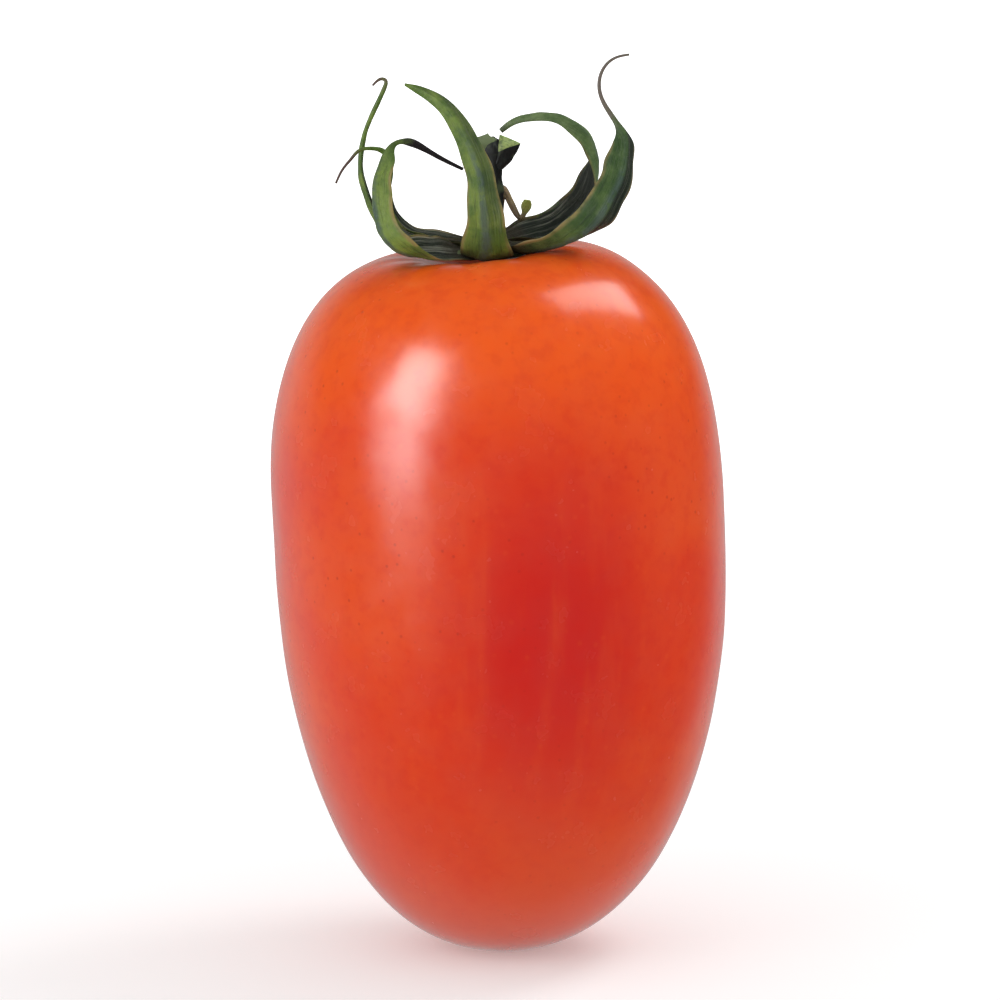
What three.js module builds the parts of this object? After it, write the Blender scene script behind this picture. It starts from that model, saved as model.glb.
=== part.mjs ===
// A ripe mini plum tomato. It stands on the small flat spot at its blossom end,
// with its green calyx of seven curled sepals and the stub of its stalk on top.
// Millimetres, +Z up, origin at the middle of the flat spot.

import * as THREE from 'three';

// Fruit: the outline is two halves of a superellipse that meet where it is widest.
const FRUIT_RADIUS = 13.9;
const SHOULDER_HEIGHT = 44.3;
const WIDEST_HEIGHT = 25.9;
const SHOULDER_POWER = 2.75;
const TAPER_POWER = 2.23;
const ROUND_END_DEPTH = 0.15;
const FLAT_SPOT_RADIUS = 2.1;

// Fruit: the hollow under the calyx, the leaning core line and the shoulder lobes.
const HOLLOW_DEPTH = 1.9;
const HOLLOW_RADIUS = 4.2;
const BELLY_OFFSET = 0.3;
const TOP_LEAN = 1.45;
const LEVEL_BASE_HEIGHT = 8;
const LOBE_COUNT = 3;
const LOBE_DEPTH = 0.012;
const LOBE_TURN = 0.6;

const FRUIT_SIDES = 56;
const FRUIT_RINGS = 40;

// Calyx: the green disc in the hollow, which the sepals grow from.
const CALYX_CENTRE = new THREE.Vector3(-0.75, 0, 42.9);
const DISC_RADIUS = 2.2;
const DISC_UNDERSIDE_MIDDLE = 0.0;
const DISC_UNDERSIDE_EDGE = 0.6;
const DISC_RIM_THICKNESS = 0.4;
const DISC_TOP_MIDDLE = 1.1;
const DISC_SIDES = 32;

// Stalk: a short stub that ends in the swollen joint where the fruit was picked.
const STALK_RADIUS = 0.55;
const STALK_FOOT_RADIUS = 0.95;
const JOINT_RADIUS = 1.05;
const JOINT_START = 0.72;
const STALK_STEPS = 18;
const STALK_SIDES = 12;
const STALK_ROUTE = [
  [0.15, 0.0, 1.4],
  [0.2, 0.0, 2.8],
  [0.2, 0.0, 4.2],
  [0.2, -0.05, 6.0],
  [0.25, -0.15, 7.6],
];

// Sepals: each route starts beside the disc and is measured from CALYX_CENTRE.
// A blade narrows into a thread at bladeEnd, as a fraction of its length.
const BLADE_THICKNESS = 0.5;
const THREAD_WIDTH = 0.36;
const SEPAL_STEPS = 30;
const SEPAL_SIDES = 10;
const SEPALS = {
  sepal_front: {
    baseWidth: 2.4,
    bladeWidth: 2.4,
    bladeEnd: 1.0,
    fold: 0.15,
    route: [
      [-0.3, -2.8, 0.7],
      [-0.3, -3.7, 2.0],
      [-0.4, -4.0, 3.9],
      [-0.8, -3.6, 6.2],
      [-1.7, -2.9, 8.2],
      [-2.6, -2.2, 9.5],
      [-3.9, -1.5, 10.4],
      [-5.2, -1.0, 10.9],
    ],
  },
  sepal_left_front: {
    baseWidth: 1.1,
    bladeWidth: 2.3,
    bladeEnd: 0.7,
    fold: 0.45,
    route: [
      [-2.15, -1.5, 0.8],
      [-3.7, -2.8, 1.0],
      [-4.9, -3.6, 1.3],
      [-5.8, -4.0, 1.8],
      [-6.5, -4.1, 2.6],
      [-6.9, -3.8, 3.8],
      [-6.9, -3.3, 4.9],
      [-6.6, -2.7, 6.0],
      [-6.2, -2.2, 7.0],
      [-5.7, -2.0, 7.45],
      [-4.9, -1.8, 7.45],
      [-4.0, -1.5, 7.0],
      [-3.0, -1.3, 6.4],
      [-1.7, -0.9, 5.7],
    ],
  },
  sepal_left: {
    baseWidth: 0.9,
    bladeWidth: 1.1,
    bladeEnd: 0.8,
    fold: 0.15,
    route: [
      [-2.55, -0.1, 0.9],
      [-4.6, 0.0, 1.4],
      [-6.5, 0.3, 2.2],
      [-7.4, 0.5, 3.5],
      [-7.9, 0.5, 5.0],
      [-7.9, 0.6, 6.5],
      [-7.6, 0.7, 7.9],
      [-7.1, 0.7, 9.1],
      [-6.5, 0.8, 10.4],
      [-6.4, 0.9, 10.9],
      [-6.7, 0.9, 11.0],
      [-7.2, 0.9, 10.6],
    ],
  },
  sepal_left_back: {
    baseWidth: 1.1,
    bladeWidth: 1.5,
    bladeEnd: 0.62,
    fold: 0.3,
    route: [
      [-2.2, 1.4, 0.9],
      [-4.0, 2.0, 1.3],
      [-5.6, 2.4, 2.2],
      [-6.3, 2.2, 3.3],
      [-6.3, 1.5, 4.6],
      [-6.1, 0.6, 5.8],
      [-6.6, 0.0, 6.7],
      [-7.4, -0.4, 6.9],
      [-8.0, -0.6, 6.8],
      [-8.5, -0.9, 6.3],
      [-9.0, -1.1, 5.7],
      [-9.4, -1.4, 4.9],
    ],
  },
  sepal_back: {
    baseWidth: 1.0,
    bladeWidth: 0.8,
    bladeEnd: 0.6,
    fold: 0.1,
    route: [
      [0.3, 2.75, 1.1],
      [0.4, 3.8, 2.9],
      [0.65, 3.9, 3.7],
      [1.1, 3.5, 3.1],
      [1.6, 3.1, 2.4],
      [1.85, 3.0, 2.2],
      [2.1, 3.0, 2.6],
      [2.25, 3.0, 3.3],
    ],
  },
  sepal_right_back: {
    baseWidth: 1.6,
    bladeWidth: 1.9,
    bladeEnd: 0.9,
    fold: 0.2,
    route: [
      [2.05, 1.75, 1.1],
      [3.1, 2.3, 1.4],
      [4.4, 2.9, 1.9],
      [5.6, 3.2, 3.0],
      [6.3, 3.0, 4.3],
      [6.4, 2.7, 5.8],
      [6.1, 2.4, 7.1],
      [5.2, 2.1, 8.1],
      [3.8, 1.9, 8.6],
      [2.4, 1.9, 8.6],
      [1.4, 2.0, 8.3],
      [0.6, 2.1, 7.7],
    ],
  },
  sepal_right_front: {
    baseWidth: 1.6,
    bladeWidth: 2.4,
    bladeEnd: 0.7,
    fold: 0.4,
    route: [
      [2.2, -1.4, 1.1],
      [3.2, -2.5, 1.45],
      [4.6, -3.2, 2.0],
      [6.0, -3.6, 2.8],
      [7.0, -3.7, 3.7],
      [7.5, -3.5, 4.6],
      [7.9, -3.1, 5.6],
      [8.1, -2.7, 6.8],
      [8.1, -2.3, 7.8],
      [7.7, -2.0, 8.6],
      [7.0, -1.8, 9.6],
      [6.6, -1.6, 10.6],
      [6.7, -1.4, 11.6],
      [7.2, -1.2, 12.3],
      [7.8, -1.1, 12.6],
      [8.4, -1.0, 12.7],
    ],
  },
};

const skin = new THREE.MeshStandardMaterial({ color: 0xdd4728, roughness: 0.25, metalness: 0 });
const leafGreen = new THREE.MeshStandardMaterial({ color: 0x5f7f3a, roughness: 0.7, metalness: 0 });
const stalkGreen = new THREE.MeshStandardMaterial({ color: 0x2d3b26, roughness: 0.75, metalness: 0 });

const smooth = (from, to, value) => THREE.MathUtils.smoothstep(value, from, to);

// Half width of the plain round outline at a height.
function outlineRadius(height) {
  const upper = height > WIDEST_HEIGHT;
  const power = upper ? SHOULDER_POWER : TAPER_POWER;
  const reach = upper ? SHOULDER_HEIGHT - WIDEST_HEIGHT : WIDEST_HEIGHT + ROUND_END_DEPTH;
  const share = Math.min(Math.abs(height - WIDEST_HEIGHT) / reach, 1);
  return FRUIT_RADIUS * (1 - share ** power) ** (1 / power);
}

// Outline from the middle of the flat spot to the middle of the top, for turning.
function fruitOutline() {
  const outline = [new THREE.Vector2(0, 0), new THREE.Vector2(FLAT_SPOT_RADIUS, 0)];
  for (let ring = 1; ring < FRUIT_RINGS; ring += 1) {
    const share = (1 - Math.cos((Math.PI * ring) / FRUIT_RINGS)) / 2;
    const height = SHOULDER_HEIGHT * share;
    outline.push(new THREE.Vector2(Math.max(outlineRadius(height), FLAT_SPOT_RADIUS), height));
  }
  outline[outline.length - 1].x = FLAT_SPOT_RADIUS;
  outline.push(new THREE.Vector2(0, SHOULDER_HEIGHT));
  return outline;
}

// Sideways place of the fruit's core line at a height, and how fast it changes there.
function coreLine(height) {
  const share = height / SHOULDER_HEIGHT;
  const offset = BELLY_OFFSET * Math.sin(Math.PI * share) - TOP_LEAN * share ** 2;
  const bellySlope = (BELLY_OFFSET * Math.PI * Math.cos(Math.PI * share)) / SHOULDER_HEIGHT;
  const leanSlope = (2 * TOP_LEAN * share) / SHOULDER_HEIGHT;
  return { offset, slope: (bellySlope - leanSlope) * smooth(0, LEVEL_BASE_HEIGHT, height) };
}

// Turns the round outline, then lobes the shoulders, presses in the hollow and leans it.
function fruitGeometry() {
  const geometry = new THREE.LatheGeometry(fruitOutline(), FRUIT_SIDES);
  geometry.rotateX(Math.PI / 2);
  const place = geometry.getAttribute('position');
  for (let index = 0; index < place.count; index += 1) {
    const x = place.getX(index);
    const y = place.getY(index);
    const height = place.getZ(index);
    const radius = Math.hypot(x, y);
    const lobe = Math.cos(LOBE_COUNT * (Math.atan2(y, x) - LOBE_TURN));
    const swell = 1 + LOBE_DEPTH * lobe * smooth(0, SHOULDER_HEIGHT, height);
    const top = smooth(WIDEST_HEIGHT, SHOULDER_HEIGHT, height);
    const hollow = HOLLOW_DEPTH * Math.exp(-((radius / HOLLOW_RADIUS) ** 2)) * top;
    const core = coreLine(height);
    const across = x * swell;
    place.setXYZ(index, core.offset + across, y * swell, height - hollow - core.slope * across);
  }
  return geometry;
}

// The calyx disc: a thin saucer whose edge turns up over the hollow.
function discGeometry() {
  const outline = [new THREE.Vector2(0, DISC_UNDERSIDE_MIDDLE)];
  outline.push(new THREE.Vector2(DISC_RADIUS * 0.6, DISC_UNDERSIDE_MIDDLE + 0.1));
  outline.push(new THREE.Vector2(DISC_RADIUS, DISC_UNDERSIDE_EDGE));
  outline.push(new THREE.Vector2(DISC_RADIUS, DISC_UNDERSIDE_EDGE + DISC_RIM_THICKNESS));
  outline.push(new THREE.Vector2(DISC_RADIUS * 0.5, DISC_TOP_MIDDLE));
  outline.push(new THREE.Vector2(0, DISC_TOP_MIDDLE));
  return new THREE.LatheGeometry(outline, DISC_SIDES).rotateX(Math.PI / 2);
}

// Skins a row of closed sections with as many points each, and closes both ends.
function loftGeometry(sections) {
  const sides = sections[0].length;
  const points = sections.flat();
  const faces = [];
  for (let row = 0; row + 1 < sections.length; row += 1) {
    for (let side = 0; side < sides; side += 1) {
      const here = row * sides + side;
      const next = row * sides + ((side + 1) % sides);
      faces.push(here, next, next + sides, here, next + sides, here + sides);
    }
  }
  const last = (sections.length - 1) * sides;
  for (let side = 1; side + 1 < sides; side += 1) {
    faces.push(0, side + 1, side);
    faces.push(last, last + side, last + side + 1);
  }
  const geometry = new THREE.BufferGeometry().setFromPoints(points);
  geometry.setIndex(faces);
  geometry.computeVertexNormals();
  return geometry;
}

// Places sections along a route. The section's width keeps its direction as it travels,
// without twisting, and outline(share, angle) gives a point across and inward.
function sweptGeometry(route, startSide, steps, sides, outline) {
  const curve = new THREE.CatmullRomCurve3(route.map((point) => new THREE.Vector3(...point)));
  const side = startSide.clone();
  const sections = [];
  for (let step = 0; step <= steps; step += 1) {
    const share = step / steps;
    const centre = curve.getPointAt(share);
    const ahead = curve.getTangentAt(share);
    side.addScaledVector(ahead, -side.dot(ahead)).normalize();
    const inward = new THREE.Vector3().crossVectors(ahead, side);
    const section = [];
    for (let corner = 0; corner < sides; corner += 1) {
      const [across, deep] = outline(share, (2 * Math.PI * corner) / sides);
      section.push(centre.clone().addScaledVector(side, across).addScaledVector(inward, deep));
    }
    sections.push(section);
  }
  return loftGeometry(sections);
}

// A folded blade that widens from its base, then narrows into a round thread.
function sepalGeometry({ route, baseWidth, bladeWidth, bladeEnd, fold }) {
  const [x, y] = route[0];
  const startSide = new THREE.Vector3(-y, x, 0).normalize();
  const outline = (share, angle) => {
    const along = Math.min(share / bladeEnd, 1);
    const spread = THREE.MathUtils.lerp(baseWidth, bladeWidth, smooth(0, 0.2, along));
    const taper = 1 - smooth(0.45, 1, along);
    const width = Math.max(THREAD_WIDTH, spread * (0.35 + 0.65 * taper) * (1 - along ** 4));
    const thickness = THREE.MathUtils.lerp(THREAD_WIDTH, BLADE_THICKNESS, taper);
    const across = (width / 2) * Math.cos(angle);
    const raised = fold * Math.abs(Math.cos(angle)) * Math.min(width / bladeWidth, 1) ** 2;
    return [across, (thickness / 2) * Math.sin(angle) + raised];
  };
  return sweptGeometry(route, startSide, SEPAL_STEPS, SEPAL_SIDES, outline);
}

// A round stub, wider at its foot and at the swollen joint on its end.
function stalkGeometry() {
  const outline = (share, angle) => {
    const foot = (STALK_FOOT_RADIUS - STALK_RADIUS) * (1 - smooth(0, 0.25, share));
    const joint = (JOINT_RADIUS - STALK_RADIUS) * smooth(JOINT_START, 0.88, share);
    const radius = STALK_RADIUS + foot + joint;
    return [radius * Math.cos(angle), radius * Math.sin(angle)];
  };
  const startSide = new THREE.Vector3(1, 0, 0);
  return sweptGeometry(STALK_ROUTE, startSide, STALK_STEPS, STALK_SIDES, outline);
}

function namedMesh(name, geometry, material) {
  const mesh = new THREE.Mesh(geometry, material);
  mesh.name = name;
  return mesh;
}

const calyx = new THREE.Group();
calyx.position.copy(CALYX_CENTRE);
calyx.add(namedMesh('calyx_disc', discGeometry(), leafGreen.clone()));
for (const [name, sepal] of Object.entries(SEPALS)) {
  calyx.add(namedMesh(name, sepalGeometry(sepal), leafGreen.clone()));
}
calyx.add(namedMesh('stalk', stalkGeometry(), stalkGreen));

const group = new THREE.Group();
group.add(namedMesh('fruit', fruitGeometry(), skin));
group.add(calyx);

export default group;
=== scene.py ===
"""Looks of a ripe mini plum tomato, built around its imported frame.

The fruit, the calyx disc, the seven sepals and the stalk each get a fine mesh and a
procedural finish. Shapes are worked out in millimetres and written in metres, in the
frame's own axes: +Z up, -Y towards the viewer, origin at the middle of the flat spot.
"""

from __future__ import annotations

import logging
import math
from dataclasses import dataclass, field
from enum import Enum, IntEnum
from typing import Sequence

import bpy
import numpy as np
from mathutils import Matrix, Vector, noise


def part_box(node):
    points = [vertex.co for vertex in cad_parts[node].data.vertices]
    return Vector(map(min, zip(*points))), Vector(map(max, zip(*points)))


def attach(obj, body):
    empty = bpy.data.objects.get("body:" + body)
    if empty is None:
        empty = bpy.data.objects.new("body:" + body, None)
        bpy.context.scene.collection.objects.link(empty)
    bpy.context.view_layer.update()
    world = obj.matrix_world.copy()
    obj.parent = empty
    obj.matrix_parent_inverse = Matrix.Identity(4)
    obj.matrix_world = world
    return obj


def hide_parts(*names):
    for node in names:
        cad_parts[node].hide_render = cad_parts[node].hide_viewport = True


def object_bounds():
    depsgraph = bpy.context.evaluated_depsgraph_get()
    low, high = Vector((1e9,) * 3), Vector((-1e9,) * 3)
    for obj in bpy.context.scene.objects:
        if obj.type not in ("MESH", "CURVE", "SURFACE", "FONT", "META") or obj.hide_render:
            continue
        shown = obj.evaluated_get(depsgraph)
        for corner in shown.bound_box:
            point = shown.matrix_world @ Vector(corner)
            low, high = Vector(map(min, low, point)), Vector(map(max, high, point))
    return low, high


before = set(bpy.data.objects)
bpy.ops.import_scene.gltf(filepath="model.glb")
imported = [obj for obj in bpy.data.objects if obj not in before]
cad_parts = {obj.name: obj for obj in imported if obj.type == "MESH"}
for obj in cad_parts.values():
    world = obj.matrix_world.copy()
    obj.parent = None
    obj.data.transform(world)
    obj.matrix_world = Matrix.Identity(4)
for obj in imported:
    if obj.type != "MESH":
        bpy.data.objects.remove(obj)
CAD_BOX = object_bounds()

MM = 0.001
ROOT_BODY = "root"
SHARE_ATTRIBUTE = "along"
ACROSS_ATTRIBUTE = "across"
INNER_ATTRIBUTE = "inner"

log = logging.getLogger("tomato")

Colour = tuple[float, float, float]
Point = tuple[float, float, float]
Profile = tuple[tuple[float, float], ...]
# Size and depth of random bumps, in millimetres, and the seed of their pattern.
Bumps = tuple[float, float, float]


# ---------------------------------------------------------------- small maths


def smoothstep(low: float, high: float, value: np.ndarray | float) -> np.ndarray:
    """Ease from 0 to 1 between two limits.

    Args:
        low: Where the result leaves 0.
        high: Where the result reaches 1.
        value: Number or array to ease.

    Returns:
        The eased share, between 0 and 1.
    """
    share = np.clip((np.asarray(value, float) - low) / (high - low), 0.0, 1.0)
    return share * share * (3.0 - 2.0 * share)


def unit(vector: np.ndarray) -> np.ndarray:
    """Return the vector with a length of one."""
    return vector / np.linalg.norm(vector)


def smooth_line(points: Sequence[Point], count: int) -> np.ndarray:
    """Draw a smooth curve through guide points.

    Args:
        points: Guide points, in millimetres.
        count: How many evenly spaced points to return.

    Returns:
        An array of count points along the curve.
    """
    guide = np.array(points, float)
    chords = np.linalg.norm(np.diff(guide, axis=0), axis=1)
    knots = np.concatenate([[0.0], np.cumsum(np.sqrt(chords))])
    gaps = np.diff(knots)
    last = len(guide) - 1
    system = np.eye(last + 1)
    wanted = np.zeros_like(guide)
    slopes = np.diff(guide, axis=0) / gaps[:, None]
    for knot in range(1, last):
        before, after = gaps[knot - 1], gaps[knot]
        system[knot, knot - 1 : knot + 2] = before, 2.0 * (before + after), after
        wanted[knot] = 6.0 * (slopes[knot] - slopes[knot - 1])
    bend = np.linalg.solve(system, wanted)
    fine_steps = 60 * len(guide)
    spot = np.linspace(0.0, knots[-1], fine_steps)
    piece = np.clip(np.searchsorted(knots, spot, side="right") - 1, 0, last - 1)
    gap = gaps[piece][:, None]
    right = (spot - knots[piece])[:, None]
    left = gap - right
    curve = (bend[piece] * left**3 + bend[piece + 1] * right**3) / (6.0 * gap)
    curve += (guide[piece] / gap - bend[piece] * gap / 6.0) * left
    curve += (guide[piece + 1] / gap - bend[piece + 1] * gap / 6.0) * right
    lengths = np.linalg.norm(np.diff(curve, axis=0), axis=1)
    run = np.concatenate([[0.0], np.cumsum(lengths)])
    even = np.linspace(0.0, run[-1], count)
    return np.stack([np.interp(even, run, curve[:, axis]) for axis in range(3)], axis=1)


def eased(profile: Profile, share: np.ndarray) -> np.ndarray:
    """Read a profile along a length, with its corners rounded off.

    Args:
        profile: Pairs of share of the length and value there.
        share: Evenly spaced shares to read it at.

    Returns:
        The value at each share.
    """
    spots, values = zip(*profile)
    reach = 4
    window = np.hanning(2 * reach + 3)[1:-1]
    padded = np.pad(np.interp(share, spots, values), reach, mode="edge")
    return np.convolve(padded, window / window.sum(), mode="valid")


def bumpy(places: np.ndarray, size: float, seed: float) -> np.ndarray:
    """Smooth random height at each place.

    Args:
        places: Points in millimetres.
        size: Width of one bump, in millimetres.
        seed: Offset that gives another pattern.

    Returns:
        One value for each point, roughly between -1 and 1.
    """
    shift = Vector((seed, 2.0 * seed, 3.0 * seed))
    return np.array([noise.noise(Vector(place) / size + shift) for place in places])


def roughened(places: np.ndarray, size: float, depth: float, seed: float) -> np.ndarray:
    """Push points about at random.

    Args:
        places: Points in millimetres.
        size: Width of one bump, in millimetres.
        depth: How far a point moves, in millimetres.
        seed: Offset that gives another pattern.

    Returns:
        The moved points.
    """
    shifts = [bumpy(places, size, seed + 3.0 * axis) for axis in range(3)]
    return places + depth * np.stack(shifts, axis=1)


# -------------------------------------------------------------- mesh building


@dataclass
class Surface:
    """A closed mesh in the making, in millimetres, with a material index for each face."""

    vertices: list[np.ndarray] = field(default_factory=list)
    faces: list[tuple[int, ...]] = field(default_factory=list)
    slots: list[int] = field(default_factory=list)
    marks: dict[str, list[np.ndarray]] = field(default_factory=dict)
    count: int = 0

    def add(
        self,
        vertices: np.ndarray,
        faces: Sequence[tuple[int, ...]],
        marks: dict[str, np.ndarray],
        slot: int = 0,
    ) -> None:
        """Add a patch of mesh.

        Args:
            vertices: Points in millimetres.
            faces: Corner numbers that count from the patch's own first point.
            marks: Value at each point, for the finish to read, by attribute name.
            slot: Number of the material that the patch wears.
        """
        self.faces.extend(tuple(self.count + corner for corner in face) for face in faces)
        self.slots.extend([int(slot)] * len(faces))
        self.vertices.append(np.asarray(vertices, float))
        for name, values in marks.items():
            self.marks.setdefault(name, []).append(np.asarray(values, float))
        self.count += len(vertices)

    def build(self, name: str, materials: Sequence[bpy.types.Material]) -> bpy.types.Object:
        """Write the mesh as a Blender object, in metres.

        Args:
            name: Name of the new piece.
            materials: Finishes, in the order of the faces' material numbers.

        Returns:
            The new object, smooth shaded.
        """
        mesh = bpy.data.meshes.new(name)
        places = np.concatenate(self.vertices) * MM
        mesh.from_pydata(places.tolist(), [], self.faces)
        for mark, values in self.marks.items():
            attribute = mesh.attributes.new(mark, "FLOAT", "POINT")
            attribute.data.foreach_set("value", np.concatenate(values).astype(np.float32))
        for material in materials:
            mesh.materials.append(material)
        mesh.polygons.foreach_set("material_index", self.slots)
        mesh.polygons.foreach_set("use_smooth", [True] * len(mesh.polygons))
        mesh.update()
        piece = bpy.data.objects.new(name, mesh)
        bpy.context.scene.collection.objects.link(piece)
        return piece


def tube_faces(rows: int, sides: int) -> list[tuple[int, ...]]:
    """Quads between rows of points, with both ends closed.

    Args:
        rows: How many closed rows of points there are.
        sides: How many points each row has.

    Returns:
        Faces that point outward when a row runs anticlockwise seen from the far end.
    """
    faces: list[tuple[int, ...]] = []
    for row in range(rows - 1):
        for side in range(sides):
            here = row * sides + side
            beside = row * sides + (side + 1) % sides
            faces.append((here, beside, beside + sides, here + sides))
    faces.append(tuple(reversed(range(sides))))
    faces.append(tuple(range((rows - 1) * sides, rows * sides)))
    return faces


@dataclass(frozen=True)
class Path:
    """A smooth centre line with a sideways and an inward direction at each step."""

    centres: np.ndarray
    sides: np.ndarray
    inwards: np.ndarray

    @property
    def length(self) -> float:
        """Length of the line, in millimetres."""
        return float(np.linalg.norm(np.diff(self.centres, axis=0), axis=1).sum())

    @classmethod
    def through(
        cls,
        points: Sequence[Point],
        steps: int,
        first_side: Point,
        rolls: Profile = ((0.0, 0.0),),
    ) -> Path:
        """Lay a path through guide points.

        Args:
            points: Guide points, in millimetres.
            steps: Number of steps along the path.
            first_side: Sideways direction at the start.
            rolls: Pairs of share and degrees: how far the section is turned there.

        Returns:
            The path, its directions carried along without needless twist.
        """
        centres = smooth_line(points, steps + 1)
        ahead = np.gradient(centres, axis=0)
        side = np.array(first_side, float)
        turns = np.radians(eased(rolls, np.linspace(0.0, 1.0, steps + 1)))
        sides = []
        inwards = []
        for heading, angle in zip(ahead, turns):
            heading = unit(heading)
            side = unit(side - heading * float(side @ heading))
            inward = np.cross(heading, side)
            sides.append(side * math.cos(angle) + inward * math.sin(angle))
            inwards.append(inward * math.cos(angle) - side * math.sin(angle))
        return cls(centres, np.array(sides), np.array(inwards))

    def place(self, across: np.ndarray, deep: np.ndarray) -> np.ndarray:
        """Place sections along the path.

        Args:
            across: Sideways offset of each point, one row for each step.
            deep: Inward offset of each point, one row for each step.

        Returns:
            The points of all sections, row after row.
        """
        spots = self.centres[:, None, :]
        spots = spots + self.sides[:, None, :] * across[:, :, None]
        spots = spots + self.inwards[:, None, :] * deep[:, :, None]
        return spots.reshape(-1, 3)


# ------------------------------------------------------------------ finishes


class Shader:
    """A material's node tree, built one named step at a time."""

    def __init__(self, name: str) -> None:
        """Start a material.

        Args:
            name: Name of the material.
        """
        self.material = bpy.data.materials.new(name)
        self.material.use_nodes = True
        self.tree = self.material.node_tree
        self.tree.nodes.clear()
        self.output = self.tree.nodes.new("ShaderNodeOutputMaterial")
        self.body = self.tree.nodes.new("ShaderNodeBsdfPrincipled")
        self.tree.links.new(self.body.outputs["BSDF"], self.output.inputs["Surface"])
        self.place = self.tree.nodes.new("ShaderNodeTexCoord").outputs["Object"]

    def node(self, kind: str, **settings: object) -> bpy.types.Node:
        """Add a node and set its properties.

        Args:
            kind: Name of the node's type.
            **settings: Properties of the node and their values.

        Returns:
            The new node.
        """
        made = self.tree.nodes.new(kind)
        for key, value in settings.items():
            setattr(made, key, value)
        return made

    def feed(self, socket: bpy.types.NodeSocket, value: object) -> None:
        """Link a socket to another, or set its value.

        Args:
            socket: The input to fill.
            value: An output socket, a number or a colour.
        """
        if isinstance(value, bpy.types.NodeSocket):
            self.tree.links.new(value, socket)
        elif isinstance(value, tuple) and socket.type == "RGBA":
            socket.default_value = (*value, 1.0)
        else:
            socket.default_value = value

    def mark(self, name: str) -> bpy.types.NodeSocket:
        """Read one of the mesh's own values."""
        return self.node("ShaderNodeAttribute", attribute_name=name).outputs["Fac"]

    def maths(self, operation: str, first: object, second: object = 0.0) -> bpy.types.NodeSocket:
        """Combine two numbers.

        Args:
            operation: Name of the operation.
            first: Number or socket.
            second: Number or socket.

        Returns:
            The result's socket.
        """
        made = self.node("ShaderNodeMath", operation=operation)
        self.feed(made.inputs[0], first)
        self.feed(made.inputs[1], second)
        return made.outputs[0]

    def length(self, vector: object) -> bpy.types.NodeSocket:
        """Measure how long a coordinate's vector is.

        Args:
            vector: Socket with the coordinate.

        Returns:
            Socket with the length.
        """
        made = self.node("ShaderNodeVectorMath", operation="LENGTH")
        self.feed(made.inputs[0], vector)
        return made.outputs["Value"]

    def shifted(self, value: object, factor: float, shift: float) -> bpy.types.NodeSocket:
        """Scale a number and add to it.

        Args:
            value: Number's socket.
            factor: What the number is multiplied by.
            shift: What is added after that.

        Returns:
            The result's socket.
        """
        return self.maths("ADD", self.maths("MULTIPLY", value, factor), shift)

    def stretched(self, scale: Point, vector: object = None) -> bpy.types.NodeSocket:
        """Scale a coordinate differently along each axis.

        Args:
            scale: Factor along X, Y and Z.
            vector: Socket to scale, or the object's own coordinates if left out.

        Returns:
            The scaled coordinate's socket.
        """
        made = self.node("ShaderNodeVectorMath", operation="MULTIPLY")
        self.feed(made.inputs[0], vector or self.place)
        made.inputs[1].default_value = scale
        return made.outputs[0]

    def joined(self, x: object, y: object, z: object = 0.0) -> bpy.types.NodeSocket:
        """Join three numbers into a coordinate.

        Args:
            x: First number or socket.
            y: Second number or socket.
            z: Third number or socket.

        Returns:
            The coordinate's socket.
        """
        made = self.node("ShaderNodeCombineXYZ")
        for socket, value in zip(made.inputs, (x, y, z)):
            self.feed(socket, value)
        return made.outputs[0]

    def axis(self, name: str) -> bpy.types.NodeSocket:
        """Read one axis of the object's own coordinates, in metres.

        Args:
            name: X, Y or Z.

        Returns:
            The coordinate's socket.
        """
        made = self.node("ShaderNodeSeparateXYZ")
        self.feed(made.inputs[0], self.place)
        return made.outputs[name]

    def blob(self, middle_mm: Point, size_mm: Point) -> bpy.types.NodeSocket:
        """Make a soft-edged ellipsoid patch.

        Args:
            middle_mm: Middle of the patch, in millimetres.
            size_mm: Half size of the patch along each axis, in millimetres.

        Returns:
            Socket with 1 in the middle that fades to 0 outside.
        """
        away = self.node("ShaderNodeVectorMath", operation="SUBTRACT")
        self.feed(away.inputs[0], self.place)
        away.inputs[1].default_value = tuple(n * MM for n in middle_mm)
        scaled = self.node("ShaderNodeVectorMath", operation="DIVIDE")
        self.feed(scaled.inputs[0], away.outputs[0])
        scaled.inputs[1].default_value = tuple(n * MM for n in size_mm)
        return self.ease(self.length(scaled.outputs[0]), 1.0, 0.15)

    def noise(
        self,
        size_mm: float,
        detail: float = 3.0,
        roughness: float = 0.5,
        vector: object = None,
        distortion: float = 0.0,
    ) -> bpy.types.NodeSocket:
        """Add smooth random variation.

        Args:
            size_mm: Width of the largest patches, in millimetres.
            detail: How many finer layers are added.
            roughness: Strength of the finer layers.
            vector: Coordinate to read, or the object's own if left out.
            distortion: How much the pattern is warped.

        Returns:
            Socket with a value around one half.
        """
        made = self.node("ShaderNodeTexNoise")
        self.feed(made.inputs["Vector"], vector or self.place)
        made.inputs["Scale"].default_value = 1.0 / (size_mm * MM)
        made.inputs["Detail"].default_value = detail
        made.inputs["Roughness"].default_value = roughness
        made.inputs["Distortion"].default_value = distortion
        return made.outputs["Fac"]

    def cells(self, size_mm: float) -> bpy.types.NodeSocket:
        """Measure the distance to the nearest of many scattered points.

        Args:
            size_mm: Spacing of the points, in millimetres.

        Returns:
            Socket with the distance, in units of the spacing.
        """
        made = self.node("ShaderNodeTexVoronoi")
        self.feed(made.inputs["Vector"], self.place)
        made.inputs["Scale"].default_value = 1.0 / (size_mm * MM)
        return made.outputs["Distance"]

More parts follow.
